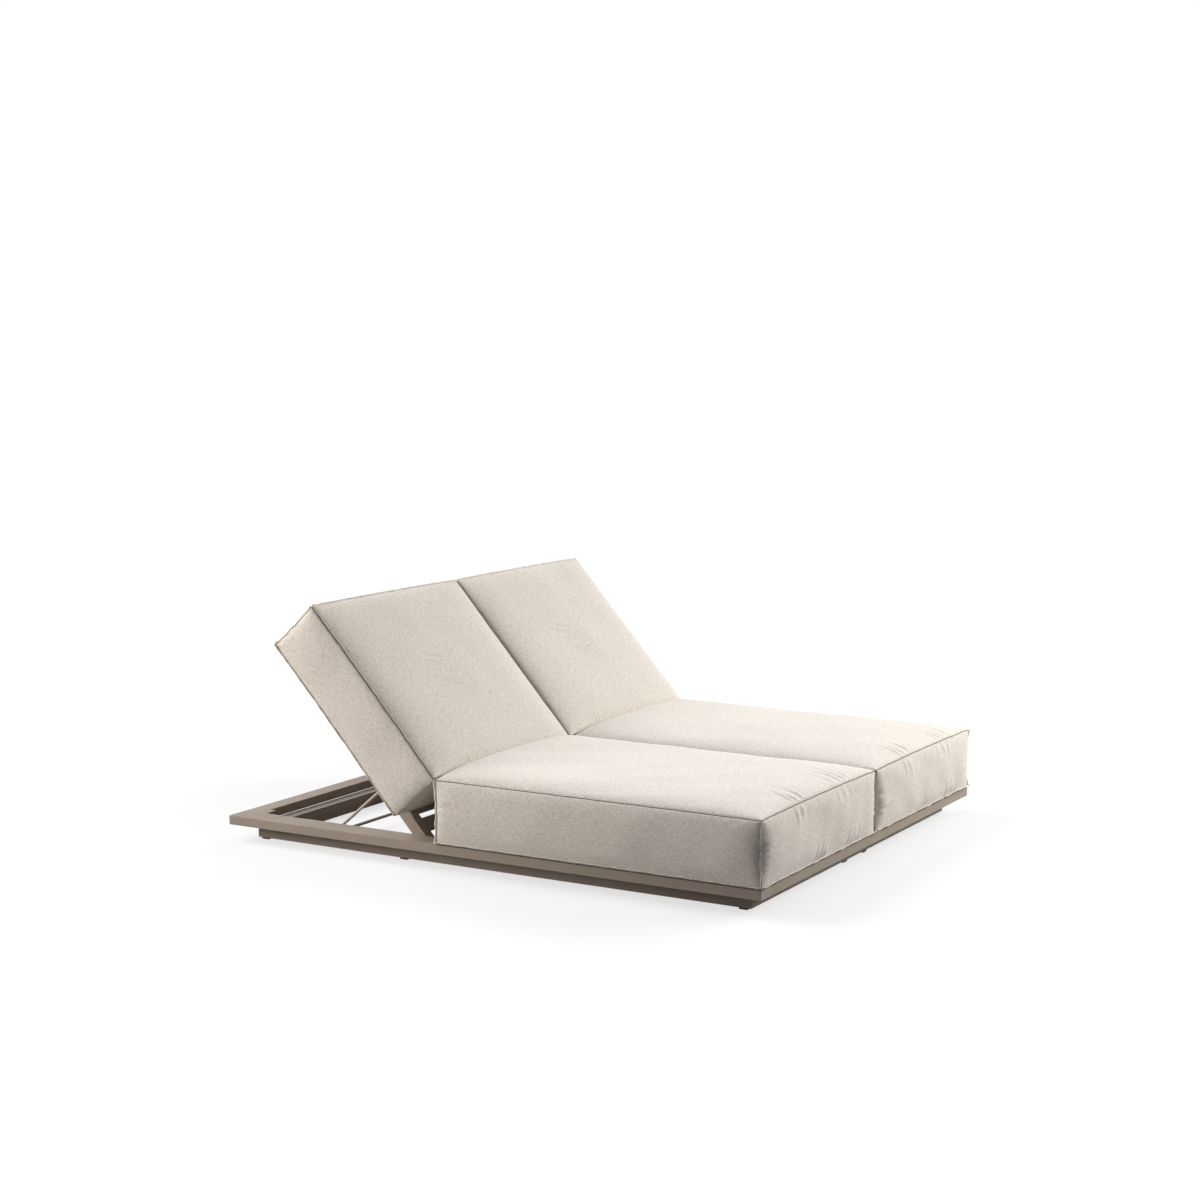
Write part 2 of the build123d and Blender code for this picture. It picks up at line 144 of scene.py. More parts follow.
def wovenFabric(name, look):
    bench, tone = MaterialBench(name), look["tone"]
    cloth = bench.add("ShaderNodeUVMap", uv_map="weave").outputs[0]  # in metres on the cloth
    perMetre = 2 * math.pi / look["threadPitch"]
    along, across, _ = bench.add("ShaderNodeSeparateXYZ", cloth).outputs
    warpWave = bench.math("SINE", bench.math("MULTIPLY", along, perMetre))
    weftWave = bench.math("SINE", bench.math("MULTIPLY", across, perMetre))
    crossing = bench.math("MULTIPLY", warpWave, weftWave)  # over and under of a plain weave
    mottle = bench.noise(cloth, 1 / look["heatherSize"], detail=3.0, roughness=0.62)
    wide, long = look["slub"]
    warpSlub = bench.noise(bench.stretched(cloth, (1 / wide, 1 / long, 1)), detail=1.0)
    weftSlub = bench.noise(bench.stretched(cloth, (1 / long, 1 / wide, 1)), detail=1.0)
    broad = bench.noise(cloth, look["clouds"]["perMetre"])
    patch = bench.noise(cloth, 1 / look["patchSize"], roughness=0.55)
    drift = bench.ramp(broad, *noiseSpan, 0.0, look["twillDrift"])
    diagonal = bench.math("ADD", bench.math("ADD", along, across), drift)
    twill = bench.math("SINE", bench.math("MULTIPLY", diagonal, 2 * math.pi / look["twillPitch"]))
    places = bench.noise(cloth, look["twillPlaces"]["perMetre"], detail=1.0)
    twill = bench.math("MULTIPLY", twill, bench.ramp(places, *look["twillPlaces"]["edges"], 0.0, tone["twill"]))

    def weighed(noise, kind):  # a noise turned into a tone about zero
        return bench.ramp(noise, *noiseSpan, -tone[kind], tone[kind])
    total = bench.math("ADD", weighed(mottle, "heather"), weighed(warpSlub, "slub"))
    total = bench.math("ADD", total, weighed(weftSlub, "slub"))
    total = bench.math("ADD", total, bench.math("MULTIPLY", crossing, tone["crossing"]))
    total = bench.math("ADD", total, bench.math("ADD", weighed(patch, "patch"), twill))
    dark = bench.ramp(total, 0.0, look["fullTone"], 0.0, look["contrast"] * look["shadeShare"])
    pale = bench.ramp(total, 0.0, -look["fullTone"], 0.0, look["contrast"])
    colour = bench.mix(dark, look["colour"], look["shadeThread"])
    colour = bench.mix(pale, colour, look["paleThread"])
    colour = bench.spotted(broad, look["clouds"], colour, look["shadeThread"])
    height = bench.math("ADD", bench.math("MULTIPLY", crossing, look["relief"]["crossing"]),
                        bench.math("ADD", warpSlub, weftSlub))
    height = bench.math("ADD", height, bench.math("MULTIPLY", mottle, look["relief"]["heather"]))
    return bench.finish({"Base Color": colour, "Roughness": look["roughness"], "Normal": bench.bump(height, look),
                         "Sheen Weight": look["sheen"], "Sheen Roughness": look["sheenRoughness"],
                         "Specular IOR Level": look["specular"]})


coating = {
    "frame": (0.372, 0.314, 0.265),  # taupe powder coat, linear
    "prop": (0.52, 0.45, 0.385),
    "grain": 0.0011,  # metres, the fine orange peel of the coat
    "paler": 1.16, "darker": 0.86,  # shares of the colour in spots and clouds
    "clouds": {"perMetre": 7.0, "edges": (0.35, 0.65), "share": 0.5},
    "specks": {"perMetre": 420.0, "edges": (0.55, 0.75), "share": 0.35},
    "scuffs": {"perMetre": (60.0, 9.0, 60.0), "edges": (0.68, 0.80), "share": 0.35},
    "roughness": 0.58, "roughSpread": (-0.05, 0.09),
    "specular": 0.08, "bump": 0.16, "bumpHeight": 0.0004,
}


def powderCoat(name, colour, look):
    bench = MaterialBench(name)
    place = bench.onPiece()
    grain = bench.noise(place, 1 / look["grain"], roughness=0.6)
    specks = bench.noise(place, look["specks"]["perMetre"], detail=1.0)
    clouds = bench.noise(place, look["clouds"]["perMetre"], detail=3.0)
    scuffs = bench.noise(bench.stretched(place, look["scuffs"]["perMetre"]), detail=5.0, roughness=0.7)
    paler = tuple(min(1.0, c * look["paler"]) for c in colour)
    tone = bench.spotted(clouds, look["clouds"], colour, tuple(c * look["darker"] for c in colour))
    tone = bench.spotted(specks, look["specks"], tone, paler)
    tone = bench.spotted(scuffs, look["scuffs"], tone, paler)
    rough = bench.ramp(clouds, *noiseSpan, *(look["roughness"] + spread for spread in look["roughSpread"]))
    return bench.finish({"Base Color": tone, "Roughness": rough, "Specular IOR Level": look["specular"],
                         "Normal": bench.bump(grain, look)})


plastic = {
    "dust": {"perMetre": 60.0, "edges": (0.5, 0.75), "share": 0.7}, "dustPaler": 0.035,
    "roughSpread": (-0.08, 0.1), "bump": 0.22, "bumpHeight": 0.0004,
    "nylon": ((0.022, 0.022, 0.022), 0.50, 1500.0),  # colour, roughness, grains per metre
    "rubber": ((0.016, 0.016, 0.016), 0.75, 900.0),
}


def mouldedPlastic(name, colour, roughness, grainsPerMetre):
    bench = MaterialBench(name)
    place = bench.onPiece()
    grain = bench.noise(place, grainsPerMetre, roughness=0.6)
    dust = bench.noise(place, plastic["dust"]["perMetre"], detail=4.0)
    tone = bench.spotted(dust, plastic["dust"], colour, tuple(c + plastic["dustPaler"] for c in colour))
    rough = bench.ramp(dust, *noiseSpan, *(roughness + spread for spread in plastic["roughSpread"]))
    return bench.finish({"Base Color": tone, "Roughness": rough, "Normal": bench.bump(grain, plastic)})


steel = {
    "colour": (0.60, 0.595, 0.58), "stained": (0.44, 0.43, 0.41),
    "lines": (180.0, 2600.0, 2600.0),  # per metre along and across the brushing
    "stains": {"perMetre": 90.0, "edges": (0.4, 0.7), "share": 0.6},
    "roughness": (0.24, 0.40), "bump": 0.10, "bumpHeight": 0.0002,
}


def brushedSteel(name, look):
    bench = MaterialBench(name)
    place = bench.onPiece()
    lines = bench.noise(bench.stretched(place, look["lines"]))
    stains = bench.noise(place, look["stains"]["perMetre"], detail=3.0)
    tone = bench.spotted(stains, look["stains"], look["colour"], look["stained"])
    return bench.finish({"Base Color": tone, "Metallic": 1.0, "Normal": bench.bump(lines, look),
                         "Roughness": bench.ramp(lines, *noiseSpan, *look["roughness"])})


foam = {
    "cells": 700.0,  # per metre
    "dark": (0.70, 0.66, 0.56), "pale": (0.80, 0.77, 0.69),
    "roughness": 0.95, "bump": 0.5, "bumpHeight": 0.001,
}


def foamCore(name, look):
    bench = MaterialBench(name)
    cells = bench.noise(bench.onPiece(), look["cells"], detail=3.0, roughness=0.7)
    tone = bench.mix(bench.ramp(cells, *noiseSpan), look["dark"], look["pale"])
    return bench.finish({"Base Color": tone, "Roughness": look["roughness"], "Normal": bench.bump(cells, look)})


finishes = {
    "frame_finish": powderCoat("taupePowderCoat", coating["frame"], coating),
    "prop_finish": powderCoat("sandPowderCoat", coating["prop"], coating),
    "cushion_fabric": wovenFabric("heatherWeave", weave),
    "foam_core": foamCore("cutFoam", foam),
    "black_plastic": mouldedPlastic("blackNylon", *plastic["nylon"]),
    "glide_rubber": mouldedPlastic("blackRubber", *plastic["rubber"]),
    "stainless_hardware": brushedSteel("brushedStainless", steel),
}
print("materials made:", len(finishes))

slotOf = {part["node"]: part["material_slot"] for part in record["subparts"]}
for name, node in frame["nodes"].items():
    node.data.materials.clear()
    node.data.materials.append(finishes[slotOf[name]])

edgeSoftening = {  # rounds the folded and cut metal edges, metres
    "width": 0.0011, "slimShare": 0.7,  # slats and beams get less
    "segments": 2, "sharpest": 50,  # degrees between faces from which an edge counts
    "weld": 0.00002,
    "full": ("side_rail", "head_rail", "foot_rail", "tube_end", "plinth", "corner", "back_arm", "back_cross"),
    "slim": ("seat_slats", "back_slats", "slat_ledges", "cross_beams", "deck_end", "centre_spine"),
}


def softenEdges(node, width):
    weld = node.modifiers.new("weld", "WELD")
    weld.merge_threshold = edgeSoftening["weld"]
    bevel = node.modifiers.new("edge", "BEVEL")
    bevel.width = width
    bevel.segments = edgeSoftening["segments"]
    bevel.limit_method = "ANGLE"
    bevel.angle_limit = math.radians(edgeSoftening["sharpest"])
    bevel.harden_normals = False


for name, node in frame["nodes"].items():
    if name.startswith(edgeSoftening["full"]):
        softenEdges(node, edgeSoftening["width"])
    elif name.startswith(edgeSoftening["slim"]):
        softenEdges(node, edgeSoftening["width"] * edgeSoftening["slimShare"])
print("frame dressed")

seamShadePaint = {  # the dark cord sunk in the seams, painted shade for the shadow in their grooves, where it differs from the weave
    "colour": (0.20, 0.170, 0.140), "shadeThread": (0.13, 0.11, 0.09), "paleThread": (0.30, 0.26, 0.22),
    "sheen": 0.05,
}

seatCushion = {
    "width": 0.846, "length": 1.162, "thickness": 0.2125,
    "corner": (-0.8485, -1.0045, 0.0863),  # near left lower corner at rest
    "crown": 0.028,  # rise of the top between its seams
    "crownReach": (0.080, 0.070, 0.016),  # how far in the top keeps rising: from long seams, foot seam, head seam
    "waist": 0.0015,  # how far the long seams draw in
    "swell": {"outer": 0.010, "inner": 0.0004, "foot": 0.012, "head": 0.0},  # how far each face stands out
    "swellReach": (0.028, 0.044),  # how near its upright seams and its level seams a face is full
    "seamLift": (0.004, 0.008),  # rise of the top seam's middle, foot end and head end
    "pullIn": (0.009, 0.004),  # how far the upright seams draw in, foot end and head end
    "wander": {"long": 0.0007, "footTop": 0.0012, "footLow": 0.0016, "upright": 0.0034},  # of the seams
    "fineReach": (0.22, 0.05),  # close grid this far from the foot seam and the head seam
    "shadeCorded": ("longTop", "footTop", "inner", "meetLow"),  # seams with a dark sunk cord that paints the shadow of their groove, the others have a pale welt
    "uprightHalf": {"uprightFoot": 0.0024, "uprightHead": 0.0025},  # half the thickness of the upright welts
    "lips": {"longTop": 0.0034, "footTop": 0.0034, "inner": 0.0020, "meetLow": 0.0020,  # height of welt or piping
             "headTop": 0.0050, "footLow": 0.0175, "longLow": 0.0160, "uprightFoot": 0.0105, "uprightHead": 0.0130},
    "arcs": {"centre": (0.46, 0.62), "count": 3, "gap": 0.05, "half": 0.16, "height": 0.0010, "seed": 5},
    "uneven": 0.0007, "seed": 11,  # height of the top's soft waves, and what its chances start from
}
backCushion = {  # the same names mean the same
    "width": 0.846, "length": 0.711, "thickness": 0.2125,
    "tilt": 48,  # degrees above level at rest
    "start": 0.1065,  # up the back from the hinge line
    "offset": 0.0235,  # from the arms' middle plane to the cushion's rear
    "crown": 0.024, "crownReach": (0.065, 0.030, 0.060), "waist": 0.005,
    "swell": {"outer": 0.008, "inner": 0.0004, "foot": 0.0, "head": 0.008}, "swellReach": (0.028, 0.044),
    "seamLift": (0.0, 0.004), "pullIn": (0.003, 0.004),
    "wander": {"long": 0.0013, "footTop": 0.0008, "footLow": 0.0008, "upright": 0.0018},
    "fineReach": (0.71, 0.71),
    "shadeCorded": ("longTop", "footTop", "inner", "meetLow"),
    "uprightHalf": {"uprightFoot": 0.0010, "uprightHead": 0.0014},
    "lips": {"longTop": 0.0036, "footTop": 0.0034, "inner": 0.0020, "meetLow": 0.0020,
             "headTop": 0.0100, "footLow": 0.0050, "longLow": 0.0150, "uprightFoot": 0.0090, "uprightHead": 0.0096},
    "arcs": {"centre": (0.43, 0.36), "count": 5, "gap": 0.030, "half": 0.11, "height": 0.0022, "seed": 9},
    "uneven": 0.0005, "seed": 23,
}
seamGroove = {  # the cloth sinks at a seam and rolls up beside it, metres
    "depth": 0.0044, "width": 0.0021, "within": 0.05,
    "roll": 0.0052, "rollReach": 0.014,
}
seamDrift = {  # how the seams wander from straight
    "lengths": (0.17, 0.11, 0.067, 0.041), "reach": 0.016, "fade": 0.03,
    "resting": 0.0004, "restingShare": 0.6,  # the seams that lie on slats and rails stray less
    "quietShare": 0.35,  # and so do those at the head end and between the cushions
}
filling = {  # soft unevenness of the faces, fading toward their edges
    "lengths": (0.34, 0.27, 0.19, 0.15, 0.11), "fade": 0.05,
    "heights": {"left": 0.0010, "right": 0.0, "foot": 0.0014, "head": 0.0},  # the top's is with its cushion
}
cornering = {
    "waistEnds": 0.22, "waistPower": 5,  # the long seams draw in between their ends
    "liftShare": 0.3,  # share of the length over which a top seam rises
    "pullReach": 0.038, "pullShare": 0.7, "pullPower": 0.7,  # the upright seams draw in
}
fabricGrid = {  # metres between the points, close to a seam, where the cloth folds, and elsewhere
    "seamSteps": (0.0009, 0.0011, 0.0014, 0.0020, 0.0028, 0.0039), "fine": 0.0052, "plain": 0.0078,
}
twinShift = 0.8505  # from a left-hand cushion to the right-hand one
panelAxes = {  # axes of rows and columns, the axis that the panel faces, and its sign
    "top": (0, 1, 2, 1), "bottom": (1, 0, 2, -1), "left": (2, 1, 0, -1),
    "right": (1, 2, 0, 1), "foot": (0, 2, 1, -1), "head": (2, 0, 1, 1),
}
otherAxes = ((1, 2), (0, 2), (0, 1))
seedSteps = {"filling": 5, "folds": 77, "puckers": 311, "sway": 400, "height": 500}  # each draws numbers of its own
waveStrength = (0.6, 0.4)  # least and spread


def smooth(value, low, high):
    t = np.clip((value - low) / (high - low), 0, 1)
    return t * t * (3 - 2 * t)


def varied(dice, leastAndSpread):
    least, spread = leastAndSpread
    return least + spread * dice.random()


def waves(where, seed, lengths):  # smooth unrepeated waves of the given lengths, about -1 to 1
    dice = np.random.default_rng(seed)
    total = np.zeros_like(where)
    for length in lengths:
        total += np.sin(2 * np.pi * (where / length + dice.random())) * varied(dice, waveStrength)
    return total / len(lengths)


def panelsOf(ids):  # rows by columns, so that rows cross columns gives the outward side
    return {"top": ids[:, :, -1], "bottom": ids[:, :, 0].T, "left": ids[0].T, "right": ids[-1],
            "foot": ids[:, 0], "head": ids[:, -1].T}


def gradedRun(length, fineStart, fineEnd, grid):  # closer together at the seams and where the cloth folds
    def fromSeam(fineReach):
        steps, total = list(grid["seamSteps"]), sum(grid["seamSteps"])
        while total < length / 2:
            step = grid["fine"] if total < fineReach else grid["plain"]
            steps.append(step)
            total += step
        return np.concatenate([[0], np.cumsum(steps)])
    start, end = fromSeam(fineStart), fromSeam(fineEnd)
    start, end = start[start < length / 2], length - end[end < length / 2][::-1]
    gap = end[0] - start[-1]
    return np.concatenate([start, end]) if gap > grid["fine"] / 2 else np.concatenate([start[:-1], end])


def boxLattice(look, grid):  # the shell of a box as a grid of shared points
    reaches = ((look["length"], look["length"]), look["fineReach"], (0.0, 0.0))
    runs = [gradedRun(size, *reach, grid) for size, reach in zip(look["size"], reaches)]
    shell = np.zeros([len(r) for r in runs], bool)
    shell[[0, -1]] = shell[:, [0, -1]] = shell[:, :, [0, -1]] = True
    ids = -np.ones(shell.shape, int)
    ids[shell] = np.arange(shell.sum())
    where = np.argwhere(shell)
    flat = np.stack([run[where[:, k]] for k, run in enumerate(runs)], 1)
    return ids, flat, panelsOf(ids)


def rise(depth, reach):
    return 1 - np.exp(-depth / reach)


def fromEdges(flat, size, axes):
    return np.minimum.reduce([np.minimum(flat[:, k], size[k] - flat[:, k]) for k in axes])


def cushionForm(flat, panels, look):  # crowned top, seams drawn in along their middle, and swelling faces
    size = width, length, thickness = look["size"]
    across, along, up = flat.T
    side, shape = 2 * across / width - 1, flat.copy()
    footLift, headLift = look["seamLift"]
    liftRun = length * cornering["liftShare"]
    lift = footLift * smooth(liftRun - along, 0, liftRun)
    lift += headLift * smooth(along - length * (1 - cornering["liftShare"]), 0, liftRun)
    shape[:, 2] += up / thickness * (1 - side ** 2) * lift
    ends = smooth(along, 0, cornering["waistEnds"]) * smooth(length - along, 0, cornering["waistEnds"])
    shape[:, 0] -= np.sign(side) * np.abs(side) ** cornering["waistPower"] * ends * look["waist"]
    sideReach, footReach, headReach = look["crownReach"]
    crown = rise(across, sideReach) * rise(width - across, sideReach)
    crown = crown * rise(along, footReach) * rise(length - along, headReach)
    top = panels["top"].ravel()
    shape[top, 2] += look["crown"] * (crown / crown[top].max())[top]
    upright, level = look["swellReach"]
    reach = (upright, upright, level)
    for name in ("left", "right", "foot", "head"):
        rows, columns, facing, sign = panelAxes[name]
        p = panels[name].ravel()
        full = np.prod([rise(flat[p, k], reach[k]) * rise(size[k] - flat[p, k], reach[k])
                        for k in (rows, columns)], 0)
        shape[p, facing] += sign * look["swell"][look["faces"].get(name, name)] * full / full.max()
    drawing = np.sin(np.pi * np.clip(up / thickness, 0, 1)) ** cornering["pullPower"]  # strongest at half height
    fromSide = np.minimum(across, width - across)
    for amount, inward, sign in zip(look["pullIn"], (along, length - along), (1, -1)):
        drawn = amount * drawing * np.exp(-np.hypot(fromSide, inward) / cornering["pullReach"])
        shape[:, 0] -= np.sign(side) * drawn * cornering["pullShare"]
        shape[:, 1] += sign * drawn * cornering["pullShare"]
    return shape


def softness(shape, flat, panels, look):  # broad shallow unevenness of the filling
    dice = np.random.default_rng(look["seed"] + seedSteps["filling"])
    for name, amount in {"top": look["uneven"], **filling["heights"]}.items():
        rows, columns, facing, sign = panelAxes[name]
        amount = 0.0 if look["faces"].get(name) == "inner" else amount
        p = panels[name].ravel()
        u, v = flat[p, rows], flat[p, columns]
        total = np.zeros_like(u)
        for length in filling["lengths"]:
            turn, phase = dice.random() * math.tau, dice.random() * math.tau
            wave = np.sin(math.tau * (u * math.cos(turn) + v * math.sin(turn)) / length + phase)
            total += wave * length / filling["lengths"][0]
        inward = fromEdges(flat[p], look["size"], (rows, columns))
        shape[p, facing] += sign * amount * total * smooth(inward, 0.0, filling["fade"])
    return shape


def softenSeams(shape, flat, panels, look):  # the cloth rolls into a groove at each seam
    size, added = look["size"], np.zeros_like(shape)
    for name, grid in panels.items():
        rows, columns, facing, sign = panelAxes[name]
        p = grid.ravel()
        inward = fromEdges(flat[p], size, (rows, columns))
        quiet = name in ("bottom", look["meeting"]) or look["faces"].get(name) == "inner"
        inner = inward > 0
        roll = 0.0 if quiet else seamGroove["roll"]
        added[p[inner], facing] += sign * roll * rise(inward[inner], seamGroove["rollReach"])
    shape = shape + added
    for axis, others in enumerate(otherAxes):  # points within a few millimetres of a seam are drawn in toward it
        seamAway = fromEdges(flat, size, others)
        for d, sign in ((flat[:, axis], 1), (size[axis] - flat[:, axis], -1)):
            pull = np.exp(-np.maximum(d, seamAway) / seamGroove["width"]) * (d < seamGroove["within"])
            shape[:, axis] += sign * seamGroove["depth"] * pull
    return shape


def seamWander(flat, look):  # no seam is quite straight
    size, wander = look["size"], np.zeros_like(flat)
    for axis, others in enumerate(otherAxes):  # the axis that a seam runs along
        run = flat[:, axis]
        fade = smooth(run, 0.0, seamDrift["fade"]) * smooth(size[axis] - run, 0.0, seamDrift["fade"])
        for first, second in ((0, 0), (0, 1), (1, 0), (1, 1)):  # which end of the two other axes
            away = [np.abs(flat[:, k] - end * size[k]) for k, end in zip(others, (first, second))]
            reachOut = np.exp(-np.hypot(*away) / seamDrift["reach"])
            kind = ("footTop" if second else "footLow", "long", "upright")[axis]
            low = axis != 2 and second == 0
            quiet = axis == 0 and first == 1 or axis == 2 and first == look["innerSide"]
            for k, other in enumerate(others):
                seed = look["seed"] + 100 * axis + 10 * first + 3 * second + k  # one for each seam and direction
                drift = waves(run, seed, seamDrift["lengths"])
                amount = look["wander"][kind]
                if low and other == 2:  # lies on slats and rails
                    amount = seamDrift["resting"] if first or axis == 1 else amount * seamDrift["restingShare"]
                if quiet:
                    amount *= seamDrift["quietShare"]
                if low and other == 2 and axis == 0 and first == 0 and look["meeting"] != "foot":
                    drift, amount = 1 + drift, look["wander"]["footLow"]  # only ever lifts off the rail
                wander[:, other] += drift * amount * reachOut * fade
    return wander


foldVariety = {  # least share and spread of each measure among the folds of a group
    "gap": (0.85, 0.3), "reach": (0.65, 0.5), "bend": (0.7, 0.6), "height": (0.6, 0.6), "width": (0.8, 0.4),
    "lean": 0.25,
}
foldProfile = {
    "hollow": 1.3, "widening": 0.8,  # depth of the hollows beside a fold, and how much wider it gets inward
    "start": 0.022, "fullShare": 0.25,  # metres until it is full, share of its length over which it stays so
}


def creases(shape, flat, panels, look, folds):  # short folds that run in from a seam
    dice = np.random.default_rng(look["seed"] + seedSteps["folds"])
    for fold in folds:
        facing, sign = panelAxes[fold["panel"]][2:]
        p = panels[fold["panel"]].ravel()
        alongAxis, inAxis, fromEnd = fold["axes"]
        s = flat[p, alongAxis]
        d = flat[p, inAxis] if fromEnd == 0 else look["size"][inAxis] - flat[p, inAxis]
        for k in range(fold["count"]):
            centre = fold["at"] + (k - (fold["count"] - 1) / 2) * fold["gap"] * varied(dice, foldVariety["gap"])
            reachIn = fold["reach"] * varied(dice, foldVariety["reach"])
            lean = fold["lean"] + foldVariety["lean"] * (dice.random() - 0.5)
            bend, height, width = (fold[measure] * varied(dice, foldVariety[measure])
                                   for measure in ("bend", "height", "width"))
            offset = s - (centre + lean * d + bend * d * d / fold["reach"])
            q = (offset / (width * (1 + foldProfile["widening"] * d / fold["reach"]))) ** 2
            profile = (1 - foldProfile["hollow"] * q) * np.exp(-q)
            fade = smooth(d, 0.0, foldProfile["start"]) * (1 - smooth(d, foldProfile["fullShare"] * reachIn, reachIn))
            shape[p, facing] += sign * height * profile * fade
    return shape


def addedToScene(obj):
    bpy.context.scene.collection.objects.link(obj)
    return obj


def sewnObject(name, places, faces, corners, material):  # corners are places on the cloth, in metres
    mesh = bpy.data.meshes.new(name)
    mesh.from_pydata(places.tolist(), [], faces)
    layer = mesh.uv_layers.new(name="weave")
    layer.data.foreach_set("uv", np.array(corners, np.float32).ravel())
    mesh.polygons.foreach_set("use_smooth", np.ones(len(faces), bool))
    mesh.materials.append(material)
    mesh.update()
    return addedToScene(bpy.data.objects.new(name, mesh))


def cushionCover(name, places, flat, panels, material):
    quads, corners = [], []
    for panel, grid in panels.items():
        q = np.stack([grid[:-1, :-1], grid[1:, :-1], grid[1:, 1:], grid[:-1, 1:]], -1).reshape(-1, 4)
        quads.append(q)
        corners.append(flat[q][:, :, sorted(panelAxes[panel][:2])].reshape(-1, 2))
    return sewnObject(name, places, np.concatenate(quads).tolist(), np.concatenate(corners), material)


foldMeasures = (  # of a group of folds
    "panel", "axes",  # the axes along and away from the seam, and from which end
    "at", "count", "gap",  # the middle of the group, how many folds and how far apart
    "reach", "lean", "bend", "height", "width",  # how far in, slope, curve and size of each fold
)
seatFolds = [dict(zip(foldMeasures, row)) for row in (
    ("top", (0, 1, 0), 0.270, 3, 0.034, 0.150, 0.10, 0.30, 0.0034, 0.0105),
    ("top", (0, 1, 0), 0.610, 4, 0.034, 0.165, 0.06, 0.30, 0.0032, 0.0105),
    ("foot", (0, 2, 1), 0.240, 2, 0.040, 0.090, 0.40, -0.2, 0.0028, 0.0115),
    ("foot", (0, 2, 1), 0.570, 3, 0.048, 0.080, 0.35, -0.2, 0.0022, 0.0115),
    ("foot", (0, 2, 0), 0.390, 3, 0.034, 0.085, 0.60, -0.3, 0.0036, 0.0090),
    ("foot", (0, 2, 0), 0.640, 4, 0.032, 0.080, 0.55, -0.3, 0.0036, 0.0090),
    ("foot", (2, 0, 0), 0.095, 5, 0.018, 0.105, 0.12, 0.1, 0.0058, 0.0070),
    ("left", (2, 1, 0), 0.090, 4, 0.021, 0.075, 0.10, 0.1, 0.0048, 0.0075),
    ("foot", (2, 0, 1), 0.110, 4, 0.021, 0.075, -0.15, 0.1, 0.0034, 0.0072),
    ("right", (2, 1, 0), 0.090, 4, 0.021, 0.065, 0.12, 0.1, 0.0026, 0.0068),
    ("left", (2, 1, 1), 0.110, 3, 0.028, 0.080, -0.1, 0.1, 0.0026, 0.0090),
)]
backFolds = [dict(zip(foldMeasures, row)) for row in (
    ("top", (0, 1, 1), 0.130, 2, 0.030, 0.050, 0.3, 0.1, 0.0018, 0.0085),
    ("top", (0, 1, 1), 0.640, 3, 0.026, 0.055, 0.4, 0.1, 0.0022, 0.0080),
    ("top", (0, 1, 0), 0.200, 2, 0.024, 0.070, 0.1, 0.1, 0.0020, 0.0075),
    ("head", (0, 2, 0), 0.300, 4, 0.030, 0.070, 0.3, -0.2, 0.0022, 0.0080),
    ("head", (0, 2, 1), 0.560, 4, 0.028, 0.070, 0.3, -0.2, 0.0022, 0.0080),
    ("left", (2, 1, 1), 0.100, 4, 0.024, 0.060, 0.1, 0.1, 0.0016, 0.0075),
    ("left", (2, 1, 0), 0.110, 3, 0.026, 0.060, 0.1, 0.1, 0.0014, 0.0080),
)]
puckers = {  # least and spread, metres
    "margin": (0.03, 0.03), "apart": (0.035, 0.05), "reach": (0.028, 0.03), "width": (0.0060, 0.004),
    "lean": 0.7, "height": 0.0011, "leastShare": 0.5,
}


def seamTucks(look):  # single small puckers spread along every seam that shows
    dice = np.random.default_rng(look["seed"] + seedSteps["puckers"])
    tucks = []
    for panel in ("top", "left", "right", "foot", "head"):
        rows, columns = panelAxes[panel][:2]
        for runAxis, inAxis in ((rows, columns), (columns, rows)):
            for end in (0, 1):
                at = varied(dice, puckers["margin"])
                while at < look["size"][runAxis] - puckers["margin"][0]:
                    height = puckers["height"] * (puckers["leastShare"] + dice.random() ** 2)
                    lean = puckers["lean"] * (dice.random() - 0.5)
                    reach, width = (varied(dice, puckers[measure]) for measure in ("reach", "width"))
                    row = (panel, (runAxis, inAxis, end), at, 1, 0.0, reach, lean, 0.0, height, width)
                    tucks.append(dict(zip(foldMeasures, row)))
                    at += varied(dice, puckers["apart"])
    return tucks


arcShape = {  # metres, and shares of an arc's half width
    "aside": 0.03, "sag": 0.35, "ripple": 0.004, "ripples": 40, "width": 0.0095, "hollow": 1.2, "fade": 1.6,
    "gap": (0.8, 0.4), "span": (0.6, 0.6), "height": (0.7, 0.5),  # least and spread
}


def smileCreases(shape, flat, panels, arcs):  # soft arcs where a body has sat
    dice = np.random.default_rng(arcs["seed"])
    p = panels["top"].ravel()
    a, b = flat[p, 0], flat[p, 1]
    for k in range(arcs["count"]):
        off = a - (arcs["centre"][0] + arcShape["aside"] * (dice.random() - 0.5))
        middle = arcs["centre"][1] + (k - (arcs["count"] - 1) / 2) * arcs["gap"] * varied(dice, arcShape["gap"])
        span = arcs["half"] * varied(dice, arcShape["span"])
        sag = arcShape["sag"] * off ** 2 / arcs["half"] + arcShape["ripple"] * np.sin(off * arcShape["ripples"] + k)
        q = ((b - middle - sag) / arcShape["width"]) ** 2
        fade = np.exp(-((off / span) ** 2) * arcShape["fade"])
        height = arcs["height"] * varied(dice, arcShape["height"])
        shape[p, 2] += height * (1 - arcShape["hollow"] * q) * np.exp(-q) * fade
    return shape


def shapedCushion(look, folds):
    ids, flat, panels = boxLattice(look, fabricGrid)
    shape = cushionForm(flat, panels, look)
    shape = softness(shape, flat, panels, look)
    shape = softenSeams(shape, flat, panels, look) + seamWander(flat, look)
    shape = creases(shape, flat, panels, look, folds + seamTucks(look))
    return ids, flat, panels, smileCreases(shape, flat, panels, look["arcs"])


